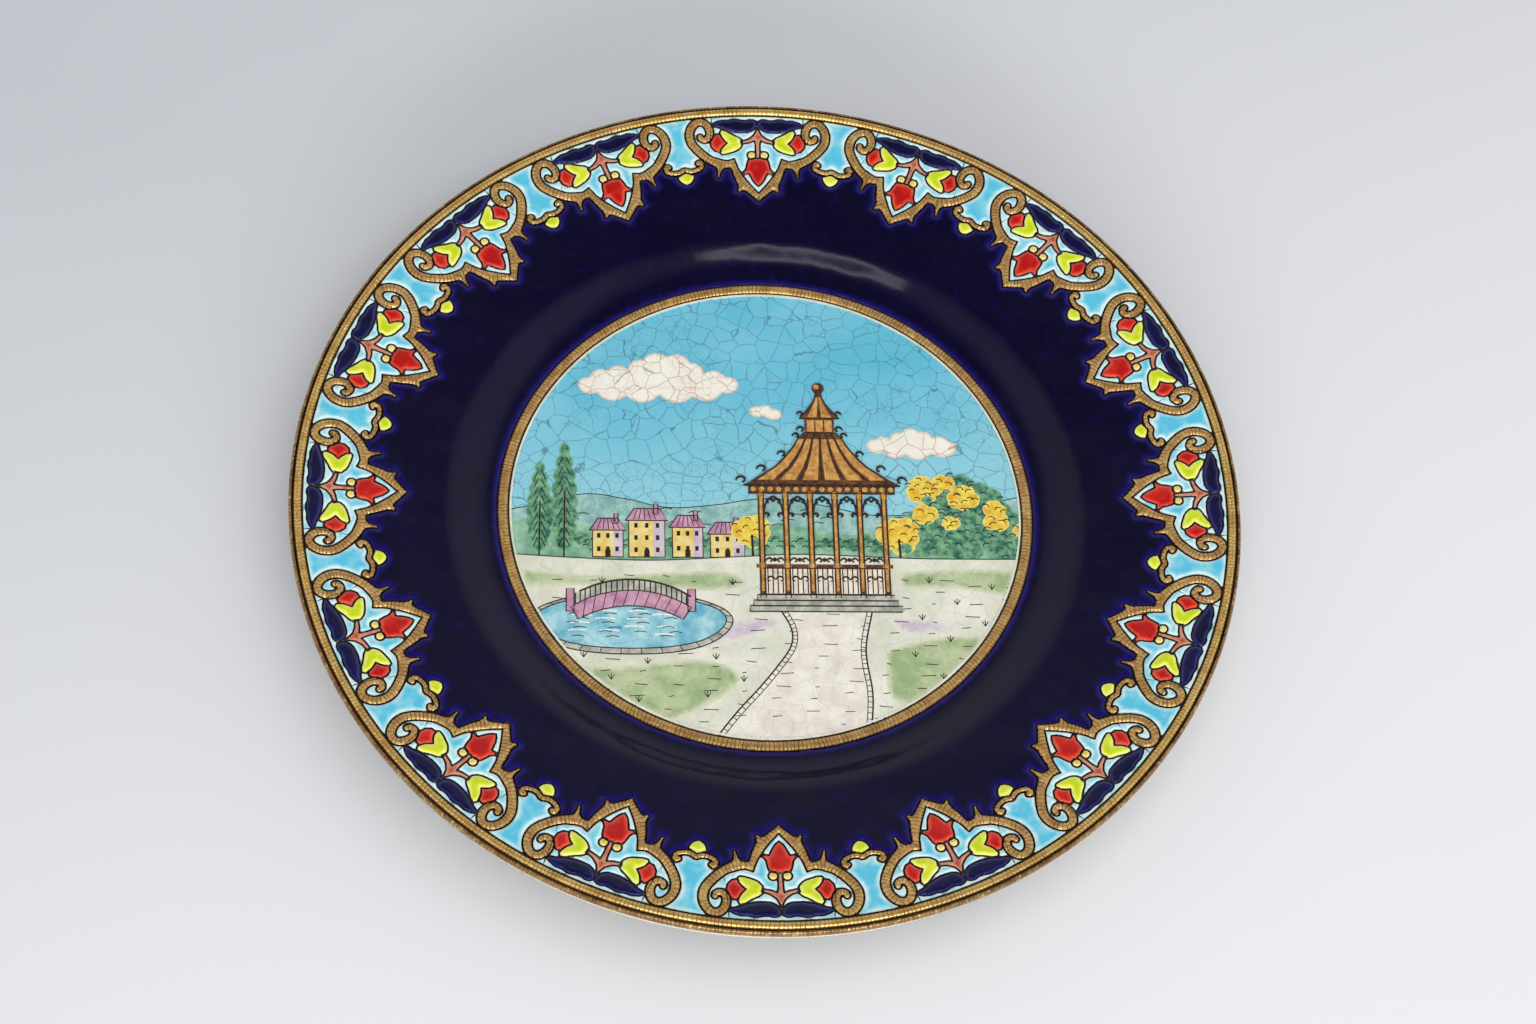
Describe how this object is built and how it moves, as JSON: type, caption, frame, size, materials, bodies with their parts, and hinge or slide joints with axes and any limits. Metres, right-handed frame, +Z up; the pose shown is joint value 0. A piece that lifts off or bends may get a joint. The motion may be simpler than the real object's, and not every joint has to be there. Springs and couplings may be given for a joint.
{
  "type": "souvenir plate",
  "caption": "Round enamelled plate with a foot ring, a deep round well, a sloping flange, raised gilt scroll lines and a centre picture.",
  "frame": {"origin": "centre of the foot ring's resting face", "axes": "+Z up through the plate's centre out of its face; +Y towards the top of the picture, where one arch of the border is centred"},
  "size_m": [0.25, 0.25, 0.023],
  "materials": {
    "biscuit": "bare fired earthenware",
    "back_glaze": "clear gloss glaze over cream body, fine crackle",
    "line_print": "dark printed line under glaze",
    "gilt": "fired gold lustre with fine cross crackle",
    "cobalt_enamel": "deep gloss enamel",
    "turquoise_enamel": "gloss enamel, pale at its edges",
    "red_enamel": "gloss enamel",
    "yellow_enamel": "gloss enamel",
    "navy_enamel": "gloss enamel",
    "pink_enamel": "gloss enamel",
    "picture_sky_glaze": "gloss glaze with wide crackle",
    "picture_cream_glaze": "gloss glaze with wide crackle",
    "picture_green_glaze": "gloss glaze, washed colour",
    "picture_yellow_glaze": "gloss glaze, washed colour",
    "picture_rose_glaze": "gloss glaze, washed colour",
    "picture_bronze_glaze": "gloss glaze, brown-gold line work"
  },
  "bodies": {
    "root": {"plate_body": "biscuit", "back_glaze": "back_glaze", "foot_well_glaze": "back_glaze", "outline_print": "line_print", "gilt_edge_band": "gilt", "gilt_rim_bead": "gilt", "gilt_picture_ring": "gilt", "gilt_scroll_arches": "gilt", "gilt_brackets": "gilt", "cobalt_ground": "cobalt_enamel", "turquoise_arch_fields": "turquoise_enamel", "turquoise_gap_fields": "turquoise_enamel", "red_lilies": "red_enamel", "red_buds": "red_enamel", "yellow_tulips": "yellow_enamel", "yellow_beads": "yellow_enamel", "yellow_drops": "yellow_enamel", "navy_leaves": "navy_enamel", "pink_stems": "pink_enamel", "picture_sky": "picture_sky_glaze", "picture_clouds": "picture_cream_glaze", "picture_hills": "picture_green_glaze", "picture_houses": "picture_cream_glaze", "picture_roofs": "picture_rose_glaze", "picture_poplars": "picture_green_glaze", "picture_grove": "picture_green_glaze", "picture_golden_trees": "picture_yellow_glaze", "picture_lawn": "picture_cream_glaze", "picture_path": "picture_cream_glaze", "picture_pond": "picture_sky_glaze", "picture_footbridge": "picture_rose_glaze", "picture_bandstand": "picture_bronze_glaze"}
  },
  "joints": []
}
